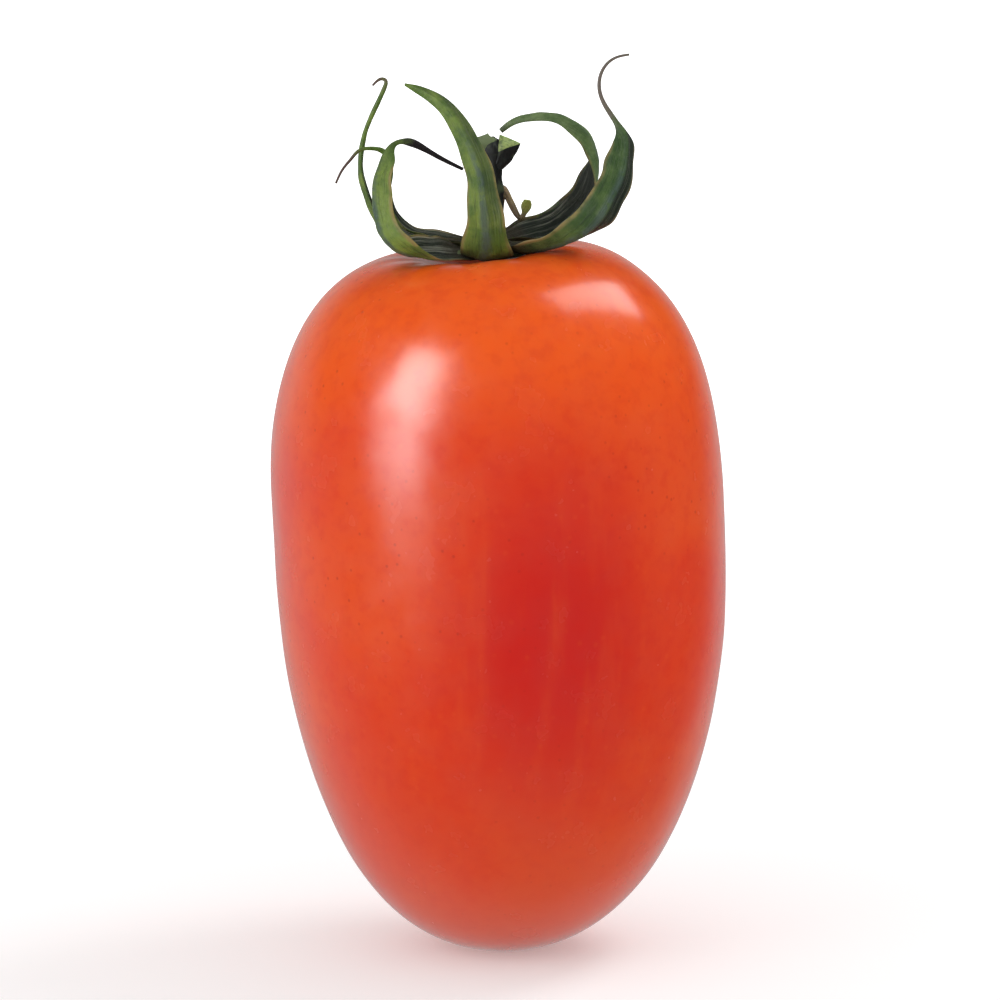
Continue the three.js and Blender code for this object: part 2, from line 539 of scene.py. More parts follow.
    def ease(
        self, value: object, low: float, high: float, to_low: float = 0.0, to_high: float = 1.0
    ) -> bpy.types.NodeSocket:
        """Map a range of values smoothly onto another.

        Args:
            value: Number's socket.
            low: Value that gives to_low.
            high: Value that gives to_high.
            to_low: Result at low.
            to_high: Result at high.

        Returns:
            The mapped value's socket.
        """
        made = self.node("ShaderNodeMapRange", interpolation_type="SMOOTHSTEP")
        for socket, number in zip(made.inputs, (value, low, high, to_low, to_high)):
            self.feed(socket, number)
        return made.outputs["Result"]

    def mix(self, share: object, first: object, second: object) -> bpy.types.NodeSocket:
        """Mix two colours.

        Args:
            share: How much of the second colour shows.
            first: Colour or socket.
            second: Colour or socket.

        Returns:
            The mixed colour's socket.
        """
        made = self.node("ShaderNodeMix", data_type="RGBA")
        self.feed(made.inputs["Factor"], share)
        self.feed(made.inputs[6], first)
        self.feed(made.inputs[7], second)
        return made.outputs[2]

    def bump(
        self, height: object, depth_mm: float, strength: float, under: object = None
    ) -> bpy.types.NodeSocket:
        """Raise the surface by a height pattern.

        Args:
            height: Socket with the pattern.
            depth_mm: Height of the pattern's full range, in millimetres.
            strength: How much of the effect is used.
            under: Normal from an earlier bump, or nothing.

        Returns:
            The new normal's socket.
        """
        made = self.node("ShaderNodeBump")
        made.inputs["Strength"].default_value = strength
        made.inputs["Distance"].default_value = depth_mm * MM
        self.feed(made.inputs["Height"], height)
        if under is not None:
            self.feed(made.inputs["Normal"], under)
        return made.outputs["Normal"]

    def finish(self, **values: object) -> bpy.types.Material:
        """Fill the main shader's sockets.

        Args:
            **values: Socket names, with underscores for spaces, and their values.

        Returns:
            The finished material.
        """
        for name, value in values.items():
            self.feed(self.body.inputs[name.replace("_", " ")], value)
        return self.material


@dataclass(frozen=True)
class FruitSkin:
    """Thin glossy skin over wet red flesh, with painted shade over the front-right and a lighter top
    that is partly painted light.
    """

    warm: Colour = (0.76, 0.074, 0.011)
    # ripe and deep give the skin's own darker patches, and also the painted shade over the
    # front-right.
    ripe: Colour = (0.70, 0.034, 0.008)
    deep: Colour = (0.58, 0.008, 0.006)
    # Lighter orange top: partly the skin's own orange round the stalk end, partly painted light from
    # above.
    shoulder: Colour = (0.90, 0.118, 0.008)
    base: Colour = (0.62, 0.075, 0.026)
    freckle: Colour = (0.86, 0.13, 0.02)
    speck: Colour = (0.33, 0.008, 0.004)
    scar: Colour = (0.24, 0.12, 0.05)
    scar_radius_mm: float = 1.1
    base_until_mm: float = 22.0
    shoulder_from_mm: float = 31.0
    shoulder_to_mm: float = 41.0
    # Painted shade over the front-right, away from the key light: a wide soft patch, then a darker
    # core.
    front_shade_middle_mm: Point = (3.0, -13.0, 22.0)
    front_shade_size_mm: Point = (11.0, 10.0, 21.0)
    deep_shade_middle_mm: Point = (2.8, -13.0, 20.0)
    deep_shade_size_mm: Point = (9.6, 9.4, 17.0)
    deep_shade_share: float = 0.85
    shoulder_share: float = 0.85
    base_share: float = 0.75
    patch_size_mm: float = 13.0
    streak_size_mm: float = 1.6
    streak_stretch: Point = (1.0, 1.0, 0.16)
    streak_share: float = 0.35
    mottle_size_mm: float = 0.9
    mottle_share: float = 0.20
    freckle_spacing_mm: float = 1.05
    freckle_share: float = 0.08
    speck_spacing_mm: float = 0.85
    speck_share: float = 0.4
    gloss_size_mm: float = 2.4
    rough_levels: tuple[float, float] = (0.20, 0.28)
    wave_size_mm: float = 3.2
    wave_depth_mm: float = 0.10
    pore_size_mm: float = 0.30
    pore_depth_mm: float = 0.008

    def build(self) -> bpy.types.Material:
        """Build the skin.

        Returns:
            The material.
        """
        shader = Shader("fruit_skin")
        height = shader.axis("Z")
        patches = shader.noise(size_mm=self.patch_size_mm, detail=2.0, roughness=0.45)
        # Painted shade over the front-right, merged with random ripe patches that are the skin's own
        # colour.
        ripe_patches_and_shade = shader.blob(self.front_shade_middle_mm, self.front_shade_size_mm)
        ripe_patches_and_shade = shader.maths("MAXIMUM", ripe_patches_and_shade, shader.ease(patches, 0.60, 0.42, 0.0, 0.7))
        colour = shader.mix(ripe_patches_and_shade, self.warm, self.ripe)
        # Lighter orange towards the top: partly the skin's own colour, partly painted light from
        # above.
        shoulder = shader.ease(height, self.shoulder_from_mm * MM, self.shoulder_to_mm * MM)
        shoulder = shader.maths("MULTIPLY", shoulder, self.shoulder_share)
        colour = shader.mix(shoulder, colour, self.shoulder)
        # Darker core of the painted shade over the front-right.
        deep_shade = shader.blob(self.deep_shade_middle_mm, self.deep_shade_size_mm)
        deep_shade = shader.maths("MULTIPLY", deep_shade, self.deep_shade_share)
        colour = shader.mix(deep_shade, colour, self.deep)
        drawn_out = shader.stretched(self.streak_stretch)
        streaks = shader.noise(self.streak_size_mm, 3.0, 0.55, drawn_out)
        streaks = shader.ease(streaks, 0.45, 0.80, 0.0, self.streak_share)
        colour = shader.mix(streaks, colour, self.warm)
        mottle = shader.noise(size_mm=self.mottle_size_mm, detail=2.0, roughness=0.6)
        darker = shader.ease(mottle, 0.42, 0.75, 0.0, self.mottle_share)
        colour = shader.mix(darker, colour, self.deep)
        freckles = shader.cells(self.freckle_spacing_mm)
        freckles = shader.ease(freckles, 0.22, 0.06, 0.0, self.freckle_share)
        colour = shader.mix(freckles, colour, self.freckle)
        specks = shader.ease(shader.cells(self.speck_spacing_mm), 0.17, 0.05)
        where = shader.ease(patches, 0.40, 0.62, 0.0, self.speck_share)
        specks = shader.maths("MULTIPLY", specks, where)
        colour = shader.mix(specks, colour, self.speck)
        low = shader.ease(height, self.base_until_mm * MM, 2.0 * MM, 0.0, self.base_share)
        low = shader.maths("MULTIPLY", low, shader.ease(patches, 0.3, 0.7, 0.6, 1.0))
        colour = shader.mix(low, colour, self.base)
        off_scar = shader.length(shader.place)
        off_scar = shader.maths("ADD", off_scar, shader.maths("MULTIPLY", mottle, 0.6 * MM))
        scar_radius = self.scar_radius_mm * MM
        scar = shader.ease(off_scar, scar_radius + 0.45 * MM, scar_radius - 0.1 * MM)
        colour = shader.mix(scar, colour, self.scar)
        gloss = shader.noise(size_mm=self.gloss_size_mm, detail=3.0, roughness=0.6)
        rough = shader.ease(gloss, 0.3, 0.7, *self.rough_levels)
        waves = shader.noise(size_mm=self.wave_size_mm, detail=2.0, roughness=0.5)
        normal = shader.bump(waves, self.wave_depth_mm, 0.30)
        pores = shader.noise(size_mm=self.pore_size_mm, detail=1.0, roughness=0.5)
        normal = shader.bump(pores, self.pore_depth_mm, 0.30, normal)
        return shader.finish(
            Base_Color=colour,
            Roughness=rough,
            Normal=normal,
            IOR=1.45,
            Subsurface_Weight=0.30,
            Subsurface_Radius=(1.0, 0.22, 0.10),
            Subsurface_Scale=1.6 * MM,
            Coat_Weight=0.4,
            Coat_Roughness=0.15,
            Coat_IOR=1.45,
        )


@dataclass(frozen=True)
class LeafFinish:
    """Soft dry sepal tissue: green blade, blue-grey midrib, tan margins, brown thread tip, with
    painted shade on inner faces and at the root.
    """

    name: str
    green: Colour = (0.074, 0.140, 0.016)
    pale: Colour = (0.165, 0.240, 0.034)
    rib: Colour = (0.062, 0.098, 0.082)
    margin: Colour = (0.270, 0.195, 0.075)
    dark: Colour = (0.010, 0.016, 0.012)
    dust: Colour = (0.260, 0.265, 0.210)
    # root: dark brown at the root, painted contact shade where the sepal meets the fruit.
    root: Colour = (0.030, 0.022, 0.008)
    tip: Colour = (0.090, 0.050, 0.036)
    tip_from: float = 0.86
    inner_shade: float = 0.95
    inner_until: float = 0.75
    dust_until: float = 0.42
    side_shade: float = 0.0
    side_from: float = 0.3
    root_shade_until: float = 0.17
    rib_strength: float = 0.8
    blade_span_mm: float = 9.0
    grain_size_mm: float = 1.0
    fibre_size_mm: float = 1.3
    fibre_stretch: Point = (1.0, 0.35, 1.0)
    patch_size_mm: float = 1.5
    wear_size_mm: float = 0.55
    fuzz_size_mm: float = 0.16
    grain_depth_mm: float = 0.12
    fuzz_depth_mm: float = 0.04

    def build(self) -> bpy.types.Material:
        """Build the leaf tissue.

        Returns:
            The material.
        """
        shader = Shader(self.name)
        along = shader.mark(SHARE_ATTRIBUTE)
        across = shader.mark(ACROSS_ATTRIBUTE)
        inner = shader.mark(INNER_ATTRIBUTE)
        edge = shader.maths("ABSOLUTE", across)
        span = self.blade_span_mm * MM
        blade_place = shader.joined(
            shader.maths("MULTIPLY", across, span), shader.maths("MULTIPLY", along, span)
        )
        grain = shader.noise(self.grain_size_mm, 4.0, 0.65, blade_place, 0.6)
        drawn_out = shader.stretched(self.fibre_stretch, blade_place)
        fibres = shader.noise(self.fibre_size_mm, 3.0, 0.7, drawn_out, 0.4)
        patches = shader.noise(size_mm=self.patch_size_mm, detail=3.0, roughness=0.55)
        worn = shader.noise(size_mm=self.wear_size_mm, detail=3.0, roughness=0.6)
        colour = shader.mix(shader.ease(patches, 0.38, 0.64), self.green, self.pale)
        colour = shader.mix(shader.ease(grain, 0.50, 0.76, 0.0, 0.65), colour, self.dark)
        wander = shader.shifted(patches, 0.35, -0.175)
        off_rib = shader.maths("ABSOLUTE", shader.maths("ADD", across, wander))
        rib = shader.ease(off_rib, 0.36, 0.06)
        rib = shader.maths("MULTIPLY", rib, shader.ease(worn, 0.30, 0.55, 0.25, 1.0))
        rib = shader.maths("MULTIPLY", rib, shader.ease(along, 0.75, 0.5, 0.0, self.rib_strength))
        colour = shader.mix(rib, colour, self.rib)
        shade = shader.ease(along, self.inner_until, self.inner_until - 0.35, 0.0, self.inner_shade)
        shade = shader.maths("MULTIPLY", shade, inner)
        if self.side_shade:
            beside = shader.ease(across, 0.02, 0.30, 0.0, self.side_shade)
            reach = shader.ease(along, self.side_from - 0.12, self.side_from + 0.08)
            shade = shader.maths("MAXIMUM", shade, shader.maths("MULTIPLY", beside, reach))
        dusty = shader.ease(along, self.dust_until, self.dust_until - 0.2, 0.30, 1.0)
        dusty = shader.maths("MULTIPLY", dusty, shader.ease(fibres, 0.48, 0.68, 0.0, 0.95))
        inside = shader.mix(dusty, self.dark, self.dust)
        colour = shader.mix(shade, colour, inside)
        margin = shader.ease(edge, 0.80, 0.97)
        margin = shader.maths("MULTIPLY", margin, shader.ease(patches, 0.35, 0.6, 0.15, 0.85))
        colour = shader.mix(margin, colour, self.margin)
        reach = shader.maths("ADD", along, shader.shifted(worn, 0.10, -0.05))
        # Painted contact shade: dark brown at the root, where the sepal meets the fruit.
        root_shade = shader.ease(reach, self.root_shade_until, self.root_shade_until * 0.45, 0.0, 0.85)
        colour = shader.mix(root_shade, colour, self.root)
        dried = shader.ease(reach, self.tip_from - 0.06, self.tip_from + 0.05)
        colour = shader.mix(dried, colour, self.tip)
        fuzz = shader.noise(size_mm=self.fuzz_size_mm, detail=3.0, roughness=0.6)
        normal = shader.bump(grain, self.grain_depth_mm, 0.8)
        normal = shader.bump(fuzz, self.fuzz_depth_mm, 0.6, normal)
        return shader.finish(
            Base_Color=colour,
            Roughness=shader.ease(fuzz, 0.3, 0.7, 0.50, 0.76),
            Normal=normal,
            IOR=1.42,
            Subsurface_Weight=0.10,
            Subsurface_Radius=(0.5, 1.0, 0.2),
            Subsurface_Scale=0.25 * MM,
            Specular_IOR_Level=0.30,
            Sheen_Weight=0.04,
            Sheen_Roughness=0.45,
            Sheen_Tint=(0.75, 0.85, 0.65),
        )


@dataclass(frozen=True)
class StalkFinish:
    """Near-black ridged stalk: its own dark green deepened with painted shade, with dusty crests and a
    little green left in it.
    """

    name: str = "stalk_dark"
    # Near black: the stalk's own dark green, darkened further as painted shade.
    dark: Colour = (0.006, 0.011, 0.011)
    green: Colour = (0.045, 0.070, 0.026)
    dust: Colour = (0.100, 0.115, 0.080)
    green_share: float = 0.35

    def build(self) -> bpy.types.Material:
        """Build the stalk's bark.

        Returns:
            The material.
        """
        shader = Shader(self.name)
        streaks = shader.noise(0.55, 4.0, 0.6, shader.stretched((1.0, 1.0, 0.3)))
        patches = shader.noise(size_mm=1.3, detail=3.0, roughness=0.6)
        low = 0.62 - 0.3 * self.green_share
        colour = shader.mix(shader.ease(patches, low, low + 0.18), self.dark, self.green)
        colour = shader.mix(shader.ease(streaks, 0.58, 0.74, 0.0, 0.5), colour, self.dust)
        normal = shader.bump(streaks, 0.12, 0.8)
        normal = shader.bump(shader.noise(size_mm=0.15, detail=2.0), 0.03, 0.6, normal)
        return shader.finish(
            Base_Color=colour,
            Roughness=shader.ease(patches, 0.3, 0.7, 0.55, 0.8),
            Normal=normal,
        )


@dataclass(frozen=True)
class BreakFinish:
    """Pale fibrous flesh where the stalk snapped at its joint."""

    name: str = "stalk_break"
    flesh: Colour = (0.33, 0.42, 0.12)
    fibre: Colour = (0.14, 0.20, 0.055)

    def build(self) -> bpy.types.Material:
        """Build the broken face.

        Returns:
            The material.
        """
        shader = Shader(self.name)
        fibres = shader.noise(size_mm=0.28, detail=3.0, roughness=0.6)
        colour = shader.mix(shader.ease(fibres, 0.42, 0.66), self.flesh, self.fibre)
        return shader.finish(
            Base_Color=colour,
            Roughness=shader.ease(fibres, 0.3, 0.7, 0.45, 0.65),
            Normal=shader.bump(fibres, 0.06, 0.7),
            Subsurface_Weight=0.15,
            Subsurface_Radius=(0.5, 1.0, 0.2),
            Subsurface_Scale=0.3 * MM,
        )


# -------------------------------------------------------------------- pieces


def seat(piece: bpy.types.Object, node: str) -> bpy.types.Object:
    """Tie a finished piece to the frame.

    Args:
        piece: The finished piece.
        node: CAD node that the piece stands for.

    Returns:
        The same piece.
    """
    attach(piece, ROOT_BODY)
    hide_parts(node)
    log.info("%s: %d faces, stands for %s", piece.name, len(piece.data.polygons), node)
    return piece


@dataclass
class Fruit:
    """The berry: a leaning superellipse egg with a hollow top and a flat resting spot."""

    radius: float = 13.9
    top: float = 44.3
    widest: float = 25.9
    shoulder_power: float = 2.75
    taper_power: float = 2.23
    round_end: float = 0.15
    flat_radius: float = 2.1
    hollow_depth: float = 1.9
    hollow_radius: float = 4.2
    belly_offset: float = 0.3
    lean: float = 1.45
    level_base: float = 8.0
    lobes: int = 3
    lobe_depth: float = 0.012
    lobe_turn: float = 0.6
    pleats: int = 11
    pleat_depth: float = 0.03
    pleat_radius: float = 4.6
    pleat_reach: float = 1.9
    broad_bumps: Bumps = (8.5, 0.13, 3.1)
    small_bumps: Bumps = (3.0, 0.03, 8.2)
    rings: int = 220
    sides: int = 256

    def outline(self, height: np.ndarray) -> np.ndarray:
        """Work out the plain round outline.

        Args:
            height: Heights in millimetres.

        Returns:
            The radius at each height, in millimetres.
        """
        upper = height > self.widest
        power = np.where(upper, self.shoulder_power, self.taper_power)
        reach = np.where(upper, self.top - self.widest, self.widest + self.round_end)
        share = np.clip(np.abs(height - self.widest) / reach, 0.0, 1.0)
        return self.radius * (1.0 - share**power) ** (1.0 / power)

    def core(self, height: np.ndarray) -> tuple[np.ndarray, np.ndarray]:
        """Lean of the core line.

        Args:
            height: Heights in millimetres.

        Returns:
            The core's sideways place and its slope at each height.
        """
        share = height / self.top
        offset = self.belly_offset * np.sin(np.pi * share) - self.lean * share**2
        slope = self.belly_offset * np.pi * np.cos(np.pi * share) / self.top
        slope = slope - 2.0 * self.lean * share / self.top
        return offset, slope * smoothstep(0.0, self.level_base, height)

    def shape(self) -> np.ndarray:
        """Work out the surface.

        Returns:
            Points in millimetres, one row of sides for each ring, from the base up.
        """
        share = (1.0 - np.cos(np.pi * np.arange(self.rings + 1) / self.rings)) / 2.0
        height = self.top * share
        radius = self.outline(height)
        radius = np.where(share < 0.5, np.maximum(radius, self.flat_radius), radius)
        angle = 2.0 * np.pi * np.arange(self.sides) / self.sides
        lobe = np.cos(self.lobes * (angle - self.lobe_turn))[None, :]
        swell = 1.0 + self.lobe_depth * lobe * smoothstep(0.0, self.top, height)[:, None]
        reach = radius[:, None] * swell
        upper = smoothstep(self.widest, self.top, height)[:, None]
        hollow = np.exp(-((radius[:, None] / self.hollow_radius) ** 2)) * self.hollow_depth * upper
        pleat = np.cos(self.pleats * angle + 1.3 * np.sin(2.0 * angle))[None, :]
        off_pleat = (radius[:, None] - self.pleat_radius) / self.pleat_reach
        drop = hollow + self.pleat_depth * pleat * (np.exp(-(off_pleat**2)) * upper)
        offset, slope = self.core(height)
        x = reach * np.cos(angle)[None, :]
        y = reach * np.sin(angle)[None, :]
        z = height[:, None] - drop - slope[:, None] * x
        return np.stack([x + offset[:, None], y, z], axis=-1)

    def build(self) -> bpy.types.Object:
        """Build the berry's fine mesh, fitted to its CAD node's box.

        Returns:
            The finished piece.
        """
        rings = self.shape()
        points = rings.reshape(-1, 3)
        low, high = (np.array(corner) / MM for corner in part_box("fruit"))
        own_low, own_high = points.min(axis=0), points.max(axis=0)
        points = low + (points - own_low) * (high - low) / (own_high - own_low)
        lift = smoothstep(0.5, 6.0, points[:, 2])
        outward = points * (1.0, 1.0, 0.0)
        outward = outward / np.maximum(np.linalg.norm(outward, axis=1), 1.0)[:, None]
        wave = np.zeros(len(points))
        for size, depth, seed in (self.broad_bumps, self.small_bumps):
            wave += depth * bumpy(points, size, seed)
        points = points + outward * (wave * lift)[:, None]
        surface = Surface()
        surface.add(points, tube_faces(len(rings), self.sides), {})
        piece = surface.build("ripe_fruit", [FruitSkin().build()])
        return seat(piece, "fruit")


@dataclass(frozen=True)
class Sepal:
    """One curled sepal: a channelled blade that runs out into a thread."""

    node: str
    route: tuple[Point, ...]
    widths: Profile
    folds: Profile
    finish: LeafFinish
    rolls: Profile = ((0.0, 0.0),)
    slot: str = "sepal_green"
    root_share: float = 0.45
    thickness: float = 0.30
    broad_half: float = 0.9
    edge_thinning: float = 0.38
    ruffle: float = 0.10
    midrib: float = 0.13
    midrib_half: float = 0.17
    vein_depth: float = 0.022
    vein_spacing: float = 11.0
    coarse_depth: float = 0.05
    fine_depth: float = 0.02
    seed: float = 1.0
    steps: int = 170
    sides: int = 32

    def shape(self, middle: np.ndarray) -> tuple[np.ndarray, dict[str, np.ndarray]]:
        """Work out the sepal's surface.

        Args:
            middle: Middle of the calyx, in millimetres.

        Returns:
            The points, and the marks that the finish reads.
        """
        first = np.array(self.route[0])
        root = tuple(first * (self.root_share, self.root_share, 1.0))
        side = (-float(first[1]), float(first[0]), 0.0)
        path = Path.through((root, *self.route), self.steps, side, self.rolls)
        share = np.linspace(0.0, 1.0, self.steps + 1)
        half = 0.5 * eased(self.widths, share)[:, None]
        fold = eased(self.folds, share)[:, None]
        share = share[:, None]
        angle = (2.0 * np.pi * np.arange(self.sides) / self.sides)[None, :]
        across = np.cos(angle) * np.ones_like(share)
        inner = np.sin(angle) * np.ones_like(share)
        spread = smoothstep(self.thickness / 2.0, self.broad_half, half)
        round_part = np.minimum(half, self.thickness / 2.0)
        thick = round_part * (1.0 - self.edge_thinning * spread * np.abs(across) ** 2)
        phase = self.seed * 2.1
        run = share * path.length
        wave = np.sin(run * 1.7 + phase) + 0.6 * np.sin(run * 3.1 + 2.0 * phase)
        lean = np.where(across > 0.0, np.sin(run * 0.9 + phase), np.cos(run * 1.2 - phase))
        edge = np.abs(across)
        deep = np.sign(inner) * np.abs(inner) ** 0.8 * thick
        deep = deep + fold * edge**1.5
        deep = deep + self.ruffle * spread * edge**2 * (0.5 * wave + 0.5 * lean)
        rib = np.exp(-((across * half / self.midrib_half) ** 2)) * spread
        deep = deep - self.midrib * rib * np.where(inner < 0.0, 1.0, 0.55)
        veins = np.cos(across * self.vein_spacing + 0.35 * wave) * spread * (1.0 - edge**4)
        deep = deep + self.vein_depth * veins
        wide = half * (1.0 + 0.05 * spread * np.sin(run * 2.3 + phase + np.sign(across)))
        spots = path.place(across * wide, deep)
        rough = bumpy(spots, 0.9, self.seed) * self.coarse_depth
        rough = rough + bumpy(spots, 0.35, self.seed + 5.0) * self.fine_depth
        outward = (path.inwards[:, None, :] * inner[:, :, None]).reshape(-1, 3)
        limit = np.minimum(1.0, (half * np.ones_like(across)).reshape(-1) / 0.5)
        spots = spots + outward * (rough * limit)[:, None]
        marks = {
            SHARE_ATTRIBUTE: (share * np.ones_like(across)).reshape(-1),
            ACROSS_ATTRIBUTE: (across * spread).reshape(-1),
            INNER_ATTRIBUTE: smoothstep(-0.05, 0.2, inner * spread).reshape(-1),
        }
        return spots + middle, marks

    def build(self, middle: np.ndarray) -> bpy.types.Object:
        """Build the sepal.

        Args:
            middle: Middle of the calyx, in millimetres.

        Returns:
            The finished piece.
        """
        points, marks = self.shape(middle)
        surface = Surface()
        surface.add(points, tube_faces(self.steps + 1, self.sides), marks)
        name = self.node.replace("sepal_", "") + "_sepal"
        return seat(surface.build(name, [self.finish.build()]), self.node)


SEPALS: tuple[Sepal, ...] = (
    Sepal(
        node="sepal_front",
        seed=1.0,
        ruffle=0.05,
        finish=LeafFinish("leaf_front", tip_from=1.05, inner_until=0.5, side_shade=0.5),
        route=(
            (-0.3, -2.7, 0.5), (-0.3, -3.7, 1.9), (-0.4, -4.0, 3.9), (-0.8, -3.6, 6.2),
            (-1.7, -2.9, 8.2), (-2.6, -2.2, 9.5), (-3.9, -1.5, 10.4), (-5.2, -1.0, 10.9),
        ),
        widths=(
            (0.0, 1.4), (0.1, 3.4), (0.2, 2.75), (0.36, 2.0), (0.55, 1.55), (0.7, 1.2),
            (0.85, 0.85), (0.95, 0.5), (1.0, 0.15),
        ),
        folds=((0.0, 0.3), (0.3, 0.2), (1.0, 0.1)),
    ),
    Sepal(
        node="sepal_left_front",
        seed=2.0,
        # Near-black thread tip: dried tissue, with painted shade on its inner side.
        finish=LeafFinish("leaf_left_front", tip_from=0.76, tip=(0.012, 0.008, 0.010)),
        route=(
            (-1.9, -1.5, 0.5), (-3.7, -2.9, 0.72), (-4.9, -3.8, 0.95), (-5.8, -4.2, 1.4),
            (-6.5, -4.2, 2.2), (-6.9, -3.8, 3.6), (-6.9, -3.3, 4.9), (-6.6, -2.7, 6.0),
            (-6.2, -2.2, 7.0), (-5.7, -2.0, 7.45), (-4.9, -1.8, 7.45), (-4.0, -1.5, 7.0),
            (-3.0, -1.3, 6.4), (-1.7, -0.9, 5.7),
        ),
        widths=(
            (0.0, 1.4), (0.12, 2.8), (0.3, 2.6), (0.45, 2.2), (0.6, 1.8), (0.68, 1.4),
            (0.715, 0.6), (0.74, 0.26), (0.765, 0.3), (0.785, 0.55), (0.82, 0.48), (0.87, 0.32),
            (1.0, 0.2),
        ),
        folds=((0.0, 0.2), (0.12, 0.45), (0.35, 0.7), (0.5, 0.5), (0.7, 0.2), (0.75, 0.0)),
        rolls=((0.0, -20.0), (0.22, -29.0), (0.42, 22.0), (0.7, 30.0), (0.78, 90.0)),
    ),
    Sepal(
        node="sepal_left",
        seed=3.0,
        finish=LeafFinish("leaf_left", tip_from=0.93, rib_strength=0.2),
        route=(
            (-2.5, 0.0, 0.8), (-4.6, 0.2, 1.0), (-6.5, 0.4, 1.9), (-7.4, 0.5, 3.4),
            (-7.9, 0.5, 5.0), (-7.9, 0.6, 6.5), (-7.6, 0.7, 7.9), (-7.1, 0.7, 9.1),
            (-6.5, 0.8, 10.4), (-6.4, 0.9, 10.9), (-6.7, 0.9, 11.0), (-7.2, 0.9, 10.6),
        ),
        widths=((0.0, 1.2), (0.12, 2.4), (0.3, 1.6), (0.5, 0.9), (0.7, 0.6), (0.9, 0.3), (1.0, 0.12)),
        folds=((0.0, 0.2), (0.15, 0.5), (0.4, 0.2), (0.7, 0.0)),
    ),
    Sepal(
        node="sepal_left_back",
        seed=4.0,
        finish=LeafFinish("leaf_left_back", tip_from=0.84),
        route=(
            (-2.2, 0.9, 0.8), (-4.0, 1.6, 1.0), (-5.6, 2.1, 1.8), (-6.3, 2.0, 3.1),
            (-6.3, 1.5, 4.4), (-6.1, 0.6, 5.8), (-6.6, 0.0, 6.7), (-7.4, -0.4, 6.9),
            (-8.0, -0.6, 6.8), (-8.5, -0.9, 6.3), (-9.0, -1.1, 5.7), (-9.4, -1.4, 4.9),
        ),
        widths=(
            (0.0, 1.2), (0.12, 2.2), (0.3, 1.7), (0.45, 1.2), (0.66, 0.7), (0.75, 0.25),
            (1.0, 0.13),
        ),
        rolls=((0.0, 0.0), (0.2, 0.0), (0.5, 10.0)),
        folds=((0.0, 0.2), (0.15, 0.6), (0.4, 0.3), (0.7, 0.0)),
    ),
    Sepal(
        node="sepal_back",
        seed=5.0,
        slot="withered_sepal",
        finish=LeafFinish(
            "leaf_withered",
            green=(0.16, 0.11, 0.055),
            pale=(0.30, 0.22, 0.11),
            rib=(0.10, 0.07, 0.04),
            tip=(0.33, 0.36, 0.08),
            tip_from=0.93,
            inner_shade=0.4,
        ),
        route=(
            (0.3, 2.7, 1.1), (0.4, 3.8, 2.9), (0.7, 3.9, 3.9), (1.2, 3.5, 3.2), (1.6, 3.1, 2.4),
            (1.85, 3.0, 2.2), (2.1, 3.0, 2.6), (2.25, 3.0, 3.3),
        ),
        widths=(
            (0.0, 1.0), (0.15, 1.4), (0.4, 0.8), (0.6, 0.9), (0.75, 0.6), (0.85, 0.3), (0.9, 0.3),
            (0.94, 0.75), (0.98, 0.7), (1.0, 0.35),
        ),
        folds=((0.0, 0.2), (0.6, 0.1), (0.8, 0.0)),
        rolls=((0.0, 0.0), (0.5, 40.0), (0.8, 0.0)),
    ),
    Sepal(
        node="sepal_right_back",
        seed=6.0,
        finish=LeafFinish(
            "leaf_right_back",
            green=(0.070, 0.130, 0.036),
            pale=(0.150, 0.215, 0.080),
            tip_from=1.0,
            tip=(0.012, 0.020, 0.020),
            inner_until=0.85,
        ),
        route=(
            (1.3, 1.2, 0.9), (2.7, 2.2, 1.0), (4.3, 2.9, 1.5), (5.6, 3.2, 2.7), (6.3, 3.0, 4.2),
            (6.4, 2.7, 5.8), (6.0, 2.4, 7.1), (5.1, 2.1, 8.0), (3.8, 1.9, 8.6), (2.4, 1.9, 8.6),
            (1.4, 2.0, 8.3), (0.6, 2.1, 7.7),
        ),
        widths=(
            (0.0, 1.4), (0.12, 3.0), (0.35, 2.6), (0.5, 2.0), (0.65, 1.6), (0.8, 1.0), (0.93, 0.6),
            (1.0, 0.25),
        ),
        folds=((0.0, 0.3), (0.15, 0.8), (0.4, 0.6), (0.6, 0.2), (1.0, 0.1)),
        rolls=(
            (0.0, 0.0), (0.2, 20.0), (0.38, 40.0), (0.5, 10.0), (0.6, -30.0), (0.72, -30.0),
            (0.85, -15.0),
        ),
    ),
    Sepal(
        node="sepal_right_front",
        seed=7.0,
        finish=LeafFinish(
            "leaf_right_front",
            # Darker greens than the other sepals: painted shade, as this sepal faces away from the key
            # light.
            green=(0.032, 0.078, 0.014),
            pale=(0.080, 0.140, 0.032),
            tip_from=0.74,
            tip=(0.130, 0.105, 0.085),
            side_shade=0.9,
        ),
        route=(
            (1.4, -1.4, 0.75), (3.0, -2.6, 1.1), (4.5, -3.4, 1.6), (5.8, -3.8, 2.35),
            (6.8, -3.8, 3.5), (7.4, -3.5, 4.6), (7.85, -3.1, 5.6), (8.1, -2.7, 6.8),
            (8.1, -2.3, 7.8), (7.7, -2.0, 8.6), (7.0, -1.8, 9.6), (6.6, -1.6, 10.6),
            (6.7, -1.4, 11.6), (7.2, -1.2, 12.3), (7.8, -1.1, 12.6), (8.4, -1.0, 12.7),
        ),
        widths=(
            (0.0, 1.4), (0.12, 2.7), (0.3, 2.5), (0.5, 2.35), (0.58, 2.1), (0.65, 1.6),
            (0.68, 0.9), (0.71, 0.36), (0.8, 0.25), (1.0, 0.14),
        ),
        folds=((0.0, 0.3), (0.12, 0.5), (0.3, 0.6), (0.42, 0.4), (0.6, 0.35), (0.7, 0.1), (0.75, 0.0)),
        rolls=((0.0, 10.0), (0.2, 0.0), (0.4, -48.0), (0.7, -50.0)),
    ),
)


